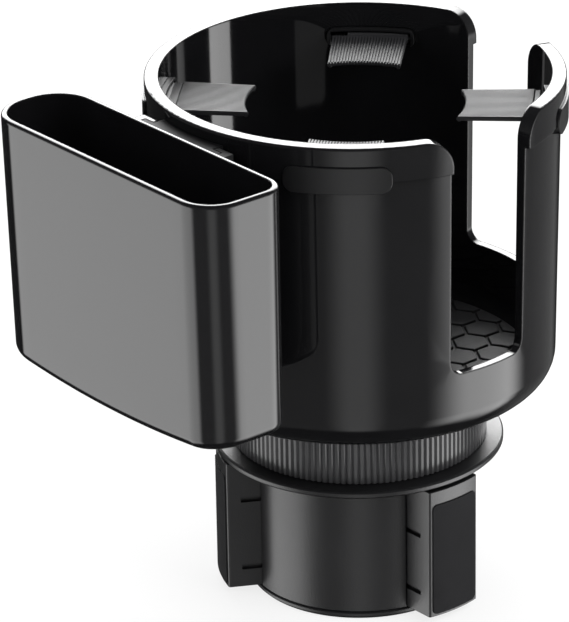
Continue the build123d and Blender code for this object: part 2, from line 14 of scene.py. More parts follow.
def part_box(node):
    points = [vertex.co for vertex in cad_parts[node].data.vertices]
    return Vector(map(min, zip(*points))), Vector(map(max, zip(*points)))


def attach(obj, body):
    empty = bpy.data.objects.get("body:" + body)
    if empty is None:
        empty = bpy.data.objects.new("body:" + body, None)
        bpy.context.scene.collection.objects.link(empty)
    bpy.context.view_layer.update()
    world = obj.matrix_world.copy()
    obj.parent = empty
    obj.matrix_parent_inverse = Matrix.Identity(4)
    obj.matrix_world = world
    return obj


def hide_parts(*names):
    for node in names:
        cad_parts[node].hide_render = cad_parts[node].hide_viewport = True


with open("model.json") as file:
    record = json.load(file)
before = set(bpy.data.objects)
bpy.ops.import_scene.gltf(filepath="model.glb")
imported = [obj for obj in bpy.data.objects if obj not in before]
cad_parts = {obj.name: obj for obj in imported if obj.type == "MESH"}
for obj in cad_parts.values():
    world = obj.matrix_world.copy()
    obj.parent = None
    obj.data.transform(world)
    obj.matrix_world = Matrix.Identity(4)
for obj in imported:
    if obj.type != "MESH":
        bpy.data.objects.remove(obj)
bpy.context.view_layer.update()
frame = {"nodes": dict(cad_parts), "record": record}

logging.basicConfig(level=logging.INFO, format="%(message)s")
log = logging.getLogger("cup_holder")

MM = 0.001
FLAP_AZIMUTHS: dict[str, float] = {
    "front_left": -135.0,
    "front_right": -45.0,
    "rear_right": 45.0,
    "rear_left": 135.0,
}


class Grain(Enum):
    """How the surface of a finish is textured."""

    POLISHED = "polished"
    SPARK = "spark"
    RUBBER = "rubber"
    BRUSHED = "brushed"


class ScrewHead(Enum):
    """The shape of a screw's head."""

    COUNTERSUNK = "countersunk"
    PAN = "pan"


class Nodes:
    """Small helper that lays out one material's shader nodes."""

    def __init__(self, name: str) -> None:
        """Starts an empty node material.

        Args:
            name: The material's name.
        """
        self.material: bpy.types.Material = bpy.data.materials.new(name)
        self.material.use_nodes = True
        self.tree: bpy.types.NodeTree = self.material.node_tree
        self.tree.nodes.clear()

    def add(self, kind: str, **settings: object) -> bpy.types.Node:
        """Adds a node and sets its properties and plain input values.

        Args:
            kind: The node's type without its ShaderNode prefix.
            **settings: Properties by name, or inputs by name with spaces as underscores.

        Returns:
            The new node.
        """
        node = self.tree.nodes.new("ShaderNode" + kind)
        for key, value in settings.items():
            label = key.replace("_", " ")
            if label in node.inputs:
                node.inputs[label].default_value = value
            else:
                setattr(node, key, value)
        return node

    def link(self, source: bpy.types.NodeSocket, target: bpy.types.NodeSocket) -> None:
        """Joins an output to an input.

        Args:
            source: The output socket.
            target: The input socket.
        """
        self.tree.links.new(source, target)

    def math(self, operation: str, first: object, second: object = None) -> bpy.types.NodeSocket:
        """Adds a math node on numbers or sockets.

        Args:
            operation: The operation, such as ADD.
            first: The first number or socket.
            second: The second number or socket, where there is one.

        Returns:
            The result's socket.
        """
        node = self.add("Math", operation=operation)
        for socket, value in zip(node.inputs, (first, second)):
            if isinstance(value, bpy.types.NodeSocket):
                self.link(value, socket)
            elif value is not None:
                socket.default_value = value
        return node.outputs[0]

    def ease(self, value: bpy.types.NodeSocket, start: float, end: float) -> bpy.types.NodeSocket:
        """Rises smoothly from 0 at the start to 1 at the end.

        Args:
            value: The value that is eased.
            start: Where the rise starts.
            end: Where it ends.

        Returns:
            The result's socket.
        """
        step = self.add("MapRange", interpolation_type="SMOOTHSTEP")
        low, high, bottom, top = (start, end, 0.0, 1.0) if start < end else (end, start, 1.0, 0.0)
        for label, number in (("From Min", low), ("From Max", high), ("To Min", bottom), ("To Max", top)):
            step.inputs[label].default_value = number
        self.link(value, step.inputs["Value"])
        return step.outputs["Result"]


@dataclass(frozen=True)
class Finish:
    """One finish of the object, built once as a procedural material."""

    name: str
    colour: tuple[float, float, float]
    roughness: float
    grain: Grain
    specular: float = 0.5
    metallic: float = 0.0
    edge_radius: float = 0.25 * MM
    grain_size: float = 0.35 * MM
    grain_depth: float = 0.02 * MM
    mottle: float = 0.12
    colour_cloud_scale: float = 90.0
    bloom_scale: float = 35.0
    edge_samples: int = 6

    def build(self) -> bpy.types.Material:
        """Builds the finish's node material.

        Returns:
            The material.
        """
        nodes = Nodes(self.name)
        coords = nodes.add("TexCoord").outputs["Object"]
        shader = nodes.add("BsdfPrincipled", Roughness=self.roughness, Metallic=self.metallic)
        shader.inputs["Specular IOR Level"].default_value = self.specular
        self._colour(nodes, coords, shader)
        self._roughness(nodes, coords, shader)
        self._relief(nodes, coords, shader)
        output = nodes.add("OutputMaterial")
        nodes.link(shader.outputs[0], output.inputs["Surface"])
        return nodes.material

    def _colour(self, nodes: Nodes, coords: bpy.types.NodeSocket, shader: bpy.types.Node) -> None:
        """Varies the colour slightly over the surface.

        Args:
            nodes: The material's nodes.
            coords: Object coordinates.
            shader: The surface shader.
        """
        cloud = nodes.add("TexNoise", Scale=self.colour_cloud_scale, Detail=5.0, Roughness=0.6)
        nodes.link(coords, cloud.inputs["Vector"])
        ramp = nodes.add("ValToRGB")
        low = [channel * (1.0 - self.mottle) for channel in self.colour]
        high = [min(1.0, channel * (1.0 + self.mottle)) for channel in self.colour]
        ramp.color_ramp.elements[0].position = 0.3
        ramp.color_ramp.elements[0].color = (*low, 1.0)
        ramp.color_ramp.elements[1].position = 0.7
        ramp.color_ramp.elements[1].color = (*high, 1.0)
        nodes.link(cloud.outputs["Fac"], ramp.inputs["Fac"])
        nodes.link(ramp.outputs["Color"], shader.inputs["Base Color"])

    def _roughness(self, nodes: Nodes, coords: bpy.types.NodeSocket, shader: bpy.types.Node) -> None:
        """Varies the roughness with faint wipe marks or moulding bloom.

        Args:
            nodes: The material's nodes.
            coords: Object coordinates.
            shader: The surface shader.
        """
        cloud = nodes.add("TexNoise", Scale=self.bloom_scale, Detail=6.0, Roughness=0.65)
        nodes.link(coords, cloud.inputs["Vector"])
        spread = nodes.add("MapRange")
        spread.inputs["To Min"].default_value = self.roughness * 0.85
        spread.inputs["To Max"].default_value = min(1.0, self.roughness * 1.2)
        nodes.link(cloud.outputs["Fac"], spread.inputs["Value"])
        nodes.link(spread.outputs["Result"], shader.inputs["Roughness"])

    def _relief(self, nodes: Nodes, coords: bpy.types.NodeSocket, shader: bpy.types.Node) -> None:
        """Adds the surface's grain and rounds its sharp edges.

        Args:
            nodes: The material's nodes.
            coords: Object coordinates.
            shader: The surface shader.
        """
        if self.grain is Grain.SPARK:
            height = nodes.add("TexVoronoi", Scale=1.0 / self.grain_size, Randomness=1.0)
            source = height.outputs["Distance"]
        elif self.grain is Grain.BRUSHED:
            height = nodes.add("TexNoise", Scale=0.2 / self.grain_size, Detail=3.0)
            source = height.outputs["Fac"]
        else:
            height = nodes.add("TexNoise", Scale=1.0 / self.grain_size, Detail=3.0)
            source = height.outputs["Fac"]
        nodes.link(coords, height.inputs["Vector"])
        edge = nodes.add("Bevel", samples=self.edge_samples)
        edge.inputs["Radius"].default_value = self.edge_radius
        bump = nodes.add("Bump", Strength=1.0, Distance=self.grain_depth)
        nodes.link(source, bump.inputs["Height"])
        nodes.link(edge.outputs["Normal"], bump.inputs["Normal"])
        nodes.link(bump.outputs["Normal"], shader.inputs["Normal"])


GLOSS_BLACK = Finish("gloss_black_plastic", (0.005, 0.005, 0.0055), 0.055, Grain.POLISHED, grain_size=2.5 * MM,
                     grain_depth=0.001 * MM, edge_radius=0.6 * MM)
PLUG_BLACK = Finish("satin_black_plug", (0.007, 0.007, 0.0075), 0.3, Grain.POLISHED, grain_size=1.0 * MM,
                    grain_depth=0.002 * MM, edge_radius=0.3 * MM)
MATTE_BLACK = Finish("matte_black_plastic", (0.009, 0.009, 0.0098), 0.34, Grain.SPARK, grain_size=0.5 * MM,
                     grain_depth=0.02 * MM, specular=0.62)
INNER_PLASTIC = Finish("inner_black_plastic", (0.006, 0.006, 0.0065), 0.5, Grain.SPARK, specular=0.12)
RING_RUBBER = Finish("ring_rubber", (0.045, 0.045, 0.047), 0.22, Grain.RUBBER, grain_depth=0.003 * MM,
                     edge_radius=0.03 * MM)
FLAP_RUBBER = Finish("flap_rubber", (0.014, 0.014, 0.015), 0.42, Grain.RUBBER, grain_depth=0.02 * MM,
                     edge_radius=0.04 * MM, specular=0.4)
MAT_RUBBER = Finish("mat_rubber", (0.020, 0.020, 0.021), 0.55, Grain.RUBBER, grain_size=0.5 * MM,
                    grain_depth=0.05 * MM, edge_radius=0.15 * MM)
PAD_RUBBER = Finish("pad_rubber", (0.012, 0.012, 0.013), 0.75, Grain.RUBBER, grain_depth=0.02 * MM, specular=0.15)
STEEL = Finish("blackened_steel", (0.07, 0.07, 0.072), 0.35, Grain.BRUSHED, metallic=1.0, grain_size=0.4 * MM,
               grain_depth=0.004 * MM, edge_radius=0.1 * MM, mottle=0.06)
ZINC = Finish("zinc_plated_steel", (0.45, 0.46, 0.48), 0.34, Grain.BRUSHED, metallic=1.0, grain_size=0.3 * MM,
              grain_depth=0.004 * MM, edge_radius=0.1 * MM, mottle=0.1)

SLOT_FINISHES: dict[str, Finish] = {
    "gloss_black": GLOSS_BLACK,
    "plug_black": PLUG_BLACK,
    "matte_black": MATTE_BLACK,
    "inner_plastic": INNER_PLASTIC,
    "ring_rubber": RING_RUBBER,
    "flap_rubber": FLAP_RUBBER,
    "mat_rubber": MAT_RUBBER,
    "pad_rubber": PAD_RUBBER,
    "pin_steel": STEEL,
    "spring_steel": STEEL,
    "screw_steel": ZINC,
}


@dataclass
class Wardrobe:
    """Keeps the built materials and dresses the carried-over nodes and the new pieces."""

    built: dict[str, bpy.types.Material] = field(default_factory=dict)

    def material(self, finish: Finish) -> bpy.types.Material:
        """Gives a finish's material, built on first use.

        Args:
            finish: The finish wanted.

        Returns:
            Its material.
        """
        if finish.name not in self.built:
            self.built[finish.name] = finish.build()
        return self.built[finish.name]

    def dress_nodes(self) -> None:
        """Gives every carried-over node the finish of its slot."""
        for row in frame["record"]["subparts"]:
            piece = frame["nodes"][row["node"]]
            finish = SLOT_FINISHES[row["material_slot"]]
            piece.data.materials.clear()
            piece.data.materials.append(self.material(finish))
            log.info("dressed %s in %s", row["node"], finish.name)

    def install(self, piece: bpy.types.Object, node: str, body: str, slot: str) -> None:
        """Dresses a new piece and puts it in the place of a node.

        Args:
            piece: The new piece.
            node: The node that it replaces.
            body: The body that it rides on.
            slot: The material slot that it takes its finish from.
        """
        piece.data.materials.clear()
        piece.data.materials.append(self.material(SLOT_FINISHES[slot]))
        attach(piece, body)
        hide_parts(node)
        log.info("made %s for %s on %s", piece.name, node, body)


def finish_mesh(name: str, form: bmesh.types.BMesh, pose: Matrix, smooth_below: float = 0.0) -> bpy.types.Object:
    """Turns a bmesh drawn in millimetres into a piece whose place is in its mesh.

    Args:
        name: The piece's name.
        form: The drawn shape, which is freed.
        pose: Where it goes, in millimetres.
        smooth_below: Edges flatter than this angle in degrees are shaded smooth, or 0 for none.

    Returns:
        The linked piece.
    """
    form.transform(Matrix.Scale(MM, 4) @ pose)
    bmesh.ops.recalc_face_normals(form, faces=form.faces)
    mesh = bpy.data.meshes.new(name)
    form.to_mesh(mesh)
    form.free()
    if smooth_below:
        mesh.shade_smooth()
        mesh.set_sharp_from_angle(angle=math.radians(smooth_below))
    piece = bpy.data.objects.new(name, mesh)
    bpy.context.scene.collection.objects.link(piece)
    return piece


def join_rings(form: bmesh.types.BMesh, rings: list[list[Vector]], closed: bool) -> None:
    """Joins equal rings of points into a skin and caps its ends.

    Args:
        form: The shape that the skin is added to.
        rings: The rings in order.
        closed: Whether the last ring joins the first instead of a cap at each end.
    """
    made = [[form.verts.new(point) for point in ring] for ring in rings]
    pairs = list(zip(made, made[1:]))
    if closed:
        pairs.append((made[-1], made[0]))
    for ring, following in pairs:
        count = len(ring)
        for index in range(count):
            after = (index + 1) % count
            form.faces.new((ring[index], ring[after], following[after], following[index]))
    if not closed:
        form.faces.new(made[0][::-1])
        form.faces.new(made[-1])


def turned(form: bmesh.types.BMesh, profile: list[tuple[float, float]], segments: int) -> None:
    """Turns a profile of radius and height about the Z axis, with a cap at each end.

    Args:
        form: The shape that the turned body is added to.
        profile: Points of radius and height from one end to the other.
        segments: How many steps go round.
    """
    rings = []
    for radius, height in profile:
        steps = (2.0 * math.pi * index / segments for index in range(segments))
        rings.append([Vector((radius * math.cos(step), radius * math.sin(step), height)) for step in steps])
    join_rings(form, rings, closed=False)


@dataclass(frozen=True)
class SprungFlap:
    """Ribbed rubber flap that springs in from the rim and holds the cup."""

    place: str
    azimuth: float
    hinge_radius: float = 49.6
    hinge_height: float = 135.8
    droop: float = 1.2
    root_half_width: float = 10.2
    tip_half_width: float = 9.7
    tip_radius: float = 28.7
    plate_low: float = 0.35
    plate_high: float = 1.15
    rib_height: float = 0.4
    rib_count: int = 25
    rib_start: float = 3.4
    rib_ramp: float = 0.4
    rib_share: float = 0.5
    rib_flank: float = 0.12
    tip_round: float = 0.3
    barrel_radius: float = 1.4
    bore_radius: float = 0.86
    barrel_end: float = 6.2
    barrel_root: float = 1.0
    notch_root: float = 1.8
    barrel_segments: int = 32
    nub_radius: float = 0.55
    nub_spot: tuple[float, float] = (21.9, 9.1)

    def build(self, wardrobe: Wardrobe) -> None:
        """Builds the flap and puts it in its node's place.

        Args:
            wardrobe: The finishes.
        """
        form = bmesh.new()
        self._plate(form)
        self._barrel(form)
        self._nubs(form)
        turn = Matrix.Rotation(math.radians(self.azimuth), 4, "Z")
        piece = finish_mesh("ribbed_flap_" + self.place, form, turn)
        wardrobe.install(piece, "flap_" + self.place, self.place + "_flap", "flap_rubber")

    def _on_plate(self, reach: float, across: float, rise: float) -> Vector:
        """Gives a point of the tilted plate at azimuth 0.

        Args:
            reach: Distance in from the hinge.
            across: Distance along the hinge.
            rise: Distance above the plate's underside.

        Returns:
            The point in millimetres.
        """
        lean = math.radians(self.droop)
        return Vector((
            self.hinge_radius - reach * math.cos(lean) - rise * math.sin(lean),
            across,
            self.hinge_height - reach * math.sin(lean) + rise * math.cos(lean),
        ))

    def _columns(self) -> list[tuple[float, float]]:
        """Gives the cross-section as shares of the half width and of the rib's height.

        Returns:
            Points from one side of the flap to the other.
        """
        columns = [(-1.0, 0.0)]
        pitch = 2.0 / self.rib_count
        half = pitch * self.rib_share / 2.0
        flank = pitch * self.rib_flank
        for number in range(self.rib_count):
            middle = -1.0 + (number + 0.5) * pitch
            columns += [
                (middle - half - flank, 0.0),
                (middle - half, 1.0),
                (middle + half, 1.0),
                (middle + half + flank, 0.0),
            ]
        columns.append((1.0, 0.0))
        return columns

    def _plate(self, form: bmesh.types.BMesh) -> None:
        """Draws the ribbed plate with its hollowed tip.

        Args:
            form: The shape that the plate is added to.
        """
        rings = []
        for share, crest in self._columns():
            tip_across = share * self.tip_half_width
            tip = self.hinge_radius - math.sqrt(self.tip_radius**2 - tip_across**2)
            root = self.barrel_root if share * self.root_half_width < self.barrel_end else self.notch_root
            top = self.plate_high + crest * self.rib_height
            outline = (
                (root, self.plate_low),
                (root, self.plate_high),
                (self.rib_start - self.rib_ramp, self.plate_high),
                (self.rib_start, top),
                (tip - self.tip_round, top),
                (tip, top - self.tip_round),
                (tip, self.plate_low + self.tip_round),
                (tip - self.tip_round, self.plate_low),
            )
            ring = []
            for reach, rise in outline:
                width = self.root_half_width + (self.tip_half_width - self.root_half_width) * reach / tip
                ring.append(self._on_plate(reach, share * width, rise))
            rings.append(ring)
        join_rings(form, rings, closed=False)

    def _barrel(self, form: bmesh.types.BMesh) -> None:
        """Draws the barrel that turns on the hinge pin.

        Args:
            form: The shape that the barrel is added to.
        """
        start = -self.root_half_width
        rings = []
        for radius, across in (
            (self.bore_radius, start),
            (self.barrel_radius, start),
            (self.barrel_radius, self.barrel_end),
            (self.bore_radius, self.barrel_end),
        ):
            ring = []
            for index in range(self.barrel_segments):
                step = 2.0 * math.pi * index / self.barrel_segments
                ring.append(Vector((
                    self.hinge_radius + radius * math.cos(step),
                    across,
                    self.hinge_height + radius * math.sin(step),
                )))
            rings.append(ring)
        join_rings(form, rings, closed=True)

    def _nubs(self, form: bmesh.types.BMesh) -> None:
        """Draws the two small nubs under the tip's corners.

        Args:
            form: The shape that the nubs are added to.
        """
        reach, across = self.nub_spot
        for side in (-1.0, 1.0):
            spot = Matrix.Translation(self._on_plate(reach, side * across, self.plate_low + 0.1))
            bmesh.ops.create_uvsphere(form, u_segments=16, v_segments=10, radius=self.nub_radius, matrix=spot)


@dataclass(frozen=True)
class FlapSpring:
    """Round-wire torsion spring on a flap's hinge pin."""

    place: str
    azimuth: float
    hinge_radius: float = 49.6
    hinge_height: float = 135.8
    coil_radius: float = 1.2
    wire_radius: float = 0.28
    first_turn: float = 6.72
    last_turn: float = 9.66
    turns: float = 4.25
    points_per_turn: int = 16
    leg_length: float = 2.6

    def build(self, wardrobe: Wardrobe) -> None:
        """Builds the spring and puts it in its node's place.

        Args:
            wardrobe: The finishes.
        """
        curve = bpy.data.curves.new("torsion_spring_" + self.place, "CURVE")
        curve.dimensions = "3D"
        curve.bevel_depth = self.wire_radius * MM
        curve.bevel_resolution = 3
        curve.use_fill_caps = True
        points = self._route()
        line = curve.splines.new("POLY")
        line.points.add(len(points) - 1)
        turn = Matrix.Rotation(math.radians(self.azimuth), 3, "Z")
        for spot, point in zip(line.points, points):
            spot.co = (*(turn @ point * MM), 1.0)
        piece = bpy.data.objects.new("torsion_spring_" + self.place, curve)
        bpy.context.scene.collection.objects.link(piece)
        wardrobe.install(piece, "flap_spring_" + self.place, "holder", "spring_steel")

    def _route(self) -> list[Vector]:
        """Gives the wire's middle line: the leg under the flap, then the coil.

        Returns:
            Points at azimuth 0 in millimetres.
        """
        points = [Vector((
            self.hinge_radius - self.leg_length,
            self.first_turn,
            self.hinge_height - self.coil_radius,
        ))]
        steps = int(self.turns * self.points_per_turn)
        for index in range(steps + 1):
            angle = 2.0 * math.pi * index / self.points_per_turn - math.pi / 2.0
            across = self.first_turn + (self.last_turn - self.first_turn) * index / steps
            points.append(Vector((
                self.hinge_radius + self.coil_radius * math.cos(angle),
                across,
                self.hinge_height + self.coil_radius * math.sin(angle),
            )))
        return points


@dataclass(frozen=True)
class HoneycombMat:
    """Rubber mat on the cup's floor with raised six-sided cells."""

    radius: float = 46.4
    low: float = 62.0
    base_thickness: float = 0.9
    cell_height: float = 0.7
    cell_edge: tuple[tuple[float, float], ...] = ((-0.12, -0.1), (0.0, 0.4), (0.05, 0.58), (0.14, 0.67))
    cell_crown_inset: float = 0.3
    cell_pitch: float = 9.5
    groove_width: float = 1.0
    anchor_cell: tuple[float, float] = (28.75, -12.9)
    edge_land: float = 1.1
    edge_round: float = 0.15
    under_cut: tuple[float, float] = (2.0, 0.44)
    least_area: float = 4.0
    grid_reach: int = 12
    segments: int = 160
    edge_facets: int = 120

    def build(self, wardrobe: Wardrobe) -> None:
        """Builds the mat and puts it in its node's place.

        Args:
            wardrobe: The finishes.
        """
        form = bmesh.new()
        cut_width, cut_height = self.under_cut
        high = self.low + self.base_thickness
        turned(form, [
            (self.radius - cut_width, self.low),
            (self.radius, self.low + cut_height),
            (self.radius, high - self.edge_round),
            (self.radius - self.edge_round, high),
        ], self.segments)
        cells = self._cells()
        for cell in cells:
            self._raise_cell(form, cell, high)
        piece = finish_mesh("honeycomb_mat", form, Matrix.Identity(4))
        wardrobe.install(piece, "floor_mat", "holder", "mat_rubber")
        log.info("the mat has %d cells", len(cells))

    def _cells(self) -> list[list[Vector]]:
        """Lays out the cells and trims those at the mat's edge.

        Returns:
            The outline of each cell.
        """
        corner = (self.cell_pitch - self.groove_width) / 2.0 / math.cos(math.radians(30.0))
        lean = math.radians(30.0)
        cells = []
        grid = range(-self.grid_reach, self.grid_reach + 1)
        for column in grid:
            for row in grid:
                middle = Vector((
                    self.anchor_cell[0] + column * self.cell_pitch * math.cos(lean),
                    self.anchor_cell[1] + (row + 0.5 * column) * self.cell_pitch,
                ))
                if middle.length > self.radius + corner:
                    continue
                outline = []
                for step in range(6):
                    angle = math.radians(60.0 * step)
                    outline.append(middle + Vector((corner * math.cos(angle), corner * math.sin(angle))))
                outline = self._trim(outline)
                if self._area(outline) > self.least_area:
                    cells.append(outline)
        return cells

    def _trim(self, outline: list[Vector]) -> list[Vector]:
        """Trims an outline to the round land at the mat's edge.

        Args:
            outline: The cell's corners.

        Returns:
            The trimmed corners.
        """
        limit = self.radius - self.edge_land
        for step in range(self.edge_facets):
            angle = 2.0 * math.pi * step / self.edge_facets
            out = Vector((math.cos(angle), math.sin(angle)))
            trimmed = []
            for point, following in zip(outline, outline[1:] + outline[:1]):
                here = point.dot(out) - limit
                there = following.dot(out) - limit
                if here <= 0.0:
                    trimmed.append(point)
                if (here < 0.0 < there) or (there < 0.0 < here):
                    trimmed.append(point.lerp(following, here / (here - there)))
            outline = trimmed
            if not outline:
                return []
        return outline

    @staticmethod
    def _area(outline: list[Vector]) -> float:
        """Gives the area inside an outline, 0 where there is none."""
        pairs = zip(outline, outline[1:] + outline[:1])
        return abs(sum(a.x * b.y - a.y * b.x for a, b in pairs)) / 2.0

    def _raise_cell(self, form: bmesh.types.BMesh, outline: list[Vector], high: float) -> None:
        """Raises one cell with softened edges.

        Args:
            form: The shape that the cell is added to.
            outline: The cell's corners.
            high: The height of the groove's floor.
        """
        middle = sum(outline, Vector((0.0, 0.0))) / len(outline)
        half = (self.cell_pitch - self.groove_width) / 2.0
        rings = []
        for inset, rise in (*self.cell_edge, (self.cell_crown_inset, self.cell_height)):
            share = 1.0 - inset / half
            rings.append([Vector((*(middle + (point - middle) * share), high + rise)) for point in outline])
        join_rings(form, rings, closed=False)


@dataclass(frozen=True)
class SideBox:
    """Open box beside the cup: round end, drafted walls, sagging bottom, rounded foot and rim, and its guides."""

    back: float = 60.2
    depth: float = 26.6
    flat_end: float = 46.6
    round_end: float = 45.4
    front_draft: float = 1.1
    end_draft: float = 0.9
    round_radius: float = 12.0
    front_radius: float = 10.0
    back_radius: float = 7.0
    top: float = 143.8
    height: float = 69.3
    sag_radius: float = 343.2
    wall: float = 1.6
    floor: float = 2.0
    foot_fillet: float = 3.0
    rim_fillet: float = 0.9
    mouth_round: float = 0.15
    corner_steps: int = 14
    straight_steps: int = 20
    fillet_steps: int = 8
    wall_steps: int = 8
    floor_steps: int = 4
    guide_span: tuple[float, float] = (98.0, 142.2)
    guide_outer: float = 18.3
    guide_inner: float = 15.8
    guide_lip: float = 3.2
    guide_front: float = 55.4
    guide_lip_thickness: float = 1.4
    least_radius: float = 0.05
    weld_distance: float = 0.002
    smooth_below: float = 35.0

    def build(self, wardrobe: Wardrobe) -> None:
        """Builds the box and puts it in its node's place.

        Args:
            wardrobe: The finishes.
        """
        form = bmesh.new()
        join_rings(form, self._skin(), closed=False)
        bmesh.ops.remove_doubles(form, verts=form.verts, dist=self.weld_distance)
        bmesh.ops.dissolve_degenerate(form, edges=form.edges, dist=self.weld_distance / 2.0)
        shell_faces = len(form.faces)
        self._guides(form)
        piece = finish_mesh("round_side_box", form, Matrix.Identity(4), self.smooth_below)
        even = piece.modifiers.new("even_shading", "WEIGHTED_NORMAL")
        even.keep_sharp = True
        even.weight = 100
        wardrobe.install(piece, "side_box", "box", "gloss_black")
        piece.data.materials.append(wardrobe.material(INNER_PLASTIC))
        for face in piece.data.polygons[shell_faces:]:
            face.material_index = 1

    def _outline(self, inset: float, drop: float) -> list[Vector]:
        """Gives the plan's outline.

        Args:
            inset: How far it is drawn in from the outside.
            drop: How far down from the rim it is, as a share of the height.

        Returns:
            Points going round, the same number for every inset and height.
        """
        front = -(self.back + self.depth - self.front_draft * drop - inset)
        back = -(self.back + inset)
        low = -(self.flat_end - inset)
        high = self.round_end - self.end_draft * drop - inset
        corners = (
            (back, low, self.back_radius - inset, -90.0, 0.0, 1.0, 1.0),
            (back, high, self.round_radius - inset, 0.0, 90.0, 1.0, -1.0),
            (front, high, self.round_radius - inset, 90.0, 180.0, -1.0, -1.0),
            (front, low, self.front_radius - inset, 180.0, 270.0, -1.0, 1.0),
        )
        points: list[Vector] = []
        for x, y, radius, start, end, to_x, to_y in corners:
            radius = max(radius, self.least_radius)
            middle = Vector((x - to_x * radius, y + to_y * radius))
            arc = []
            for step in range(self.corner_steps + 1):
                angle = math.radians(start + (end - start) * step / self.corner_steps)
                arc.append(middle + radius * Vector((math.cos(angle), math.sin(angle))))
            if points:
                points += self._between(points[-1], arc[0])
            points += arc
        return points + self._between(points[-1], points[0])

    def _between(self, start: Vector, end: Vector) -> list[Vector]:
        """Divides a straight run of the outline, leaving out its ends."""
        return [start.lerp(end, step / self.straight_steps) for step in range(1, self.straight_steps)]

    def _underside(self, across: float) -> float:
        """Gives the height of the sagging underside at a distance from the box's middle."""
        return self.top - self.height + self.sag_radius - math.sqrt(self.sag_radius**2 - across**2)

    def _ring(self, inset: float, rise: float, share: float, gap: float) -> list[Vector]:
        """Gives one ring of the skin.

        Args:
            inset: How far it is drawn in from the outside.
            rise: Its height above the underside where the share is 0.
            share: Where it lies between the rise, at 0, and the rim, at 1.
            gap: How far below the rim the share of 1 is.

        Returns:
            The ring's points.
        """
        ring = []
        rim, halfway, bottom = (self._outline(inset, drop) for drop in (0.0, 0.5, 1.0))
        for at_rim, point, at_bottom in zip(rim, halfway, bottom):
            low = self._underside(point.y) + rise
            height = low + (self.top - gap - low) * share
            placed = at_rim.lerp(at_bottom, (self.top - height) / self.height)
            ring.append(Vector((placed.x, placed.y, height)))
        return ring

    def _skin(self) -> list[list[Vector]]:
        """Gives the rings from the middle of the underside, over the rim, to the middle of the inside floor.

        Returns:
            The rings in order.
        """
        quarter = [math.radians(90.0 * step / self.fillet_steps) for step in range(self.fillet_steps + 1)]
        rings = self._floor_rings(self.foot_fillet, 0.0)
        for angle in reversed(quarter):
            inset = self.foot_fillet * (1.0 - math.cos(angle))
            rings.append(self._ring(inset, self.foot_fillet * (1.0 - math.sin(angle)), 0.0, 0.0))
        for step in range(1, self.wall_steps + 1):
            rings.append(self._ring(0.0, self.foot_fillet, step / self.wall_steps, self.rim_fillet))
        for angle in quarter[1:]:
            inset = self.rim_fillet * (1.0 - math.cos(angle))
            rings.append(self._ring(inset, 0.0, 1.0, self.rim_fillet * (1.0 - math.sin(angle))))
        rings.append(self._ring(self.wall - self.mouth_round, 0.0, 1.0, 0.0))
        rings.append(self._ring(self.wall, 0.0, 1.0, self.mouth_round))
        for step in range(1, self.wall_steps + 1):
            rings.append(self._ring(self.wall, self.floor, 1.0 - step / self.wall_steps, self.mouth_round))
        return rings + self._floor_rings(self.wall, self.floor)[::-1]

    def _floor_rings(self, inset: float, rise: float) -> list[list[Vector]]:
        """Gives the rings that close a floor from its middle line out to its edge.

        Args:
            inset: The floor's edge, drawn in from the outside.
            rise: Its height above the underside.

        Returns:
            The rings, the middle line first and the edge left out.
        """
        edge = self._ring(inset, rise, 0.0, 0.0)
        middle = sum(point.x for point in edge) / len(edge)
        rings = []
        for step in range(self.floor_steps):
            share = step / self.floor_steps
            rings.append([Vector((middle + (point.x - middle) * share, point.y, point.z)) for point in edge])
        return rings

    def _guides(self, form: bmesh.types.BMesh) -> None:
        """Draws the two hooks on the back that slide over the cup's rail.

        Args:
            form: The shape that the guides are added to.
        """
        root = self.back + self.wall / 2.0
        for side in (-1.0, 1.0):
            outline = (
                (-root, side * self.guide_outer),
                (-self.guide_front, side * self.guide_outer),
                (-self.guide_front, side * (self.guide_inner - self.guide_lip)),
                (-self.guide_front - self.guide_lip_thickness, side * (self.guide_inner - self.guide_lip)),
                (-self.guide_front - self.guide_lip_thickness, side * self.guide_inner),
                (-root, side * self.guide_inner),
            )
            rings = [[Vector((x, y, height)) for x, y in outline] for height in self.guide_span]
            join_rings(form, rings, closed=False)


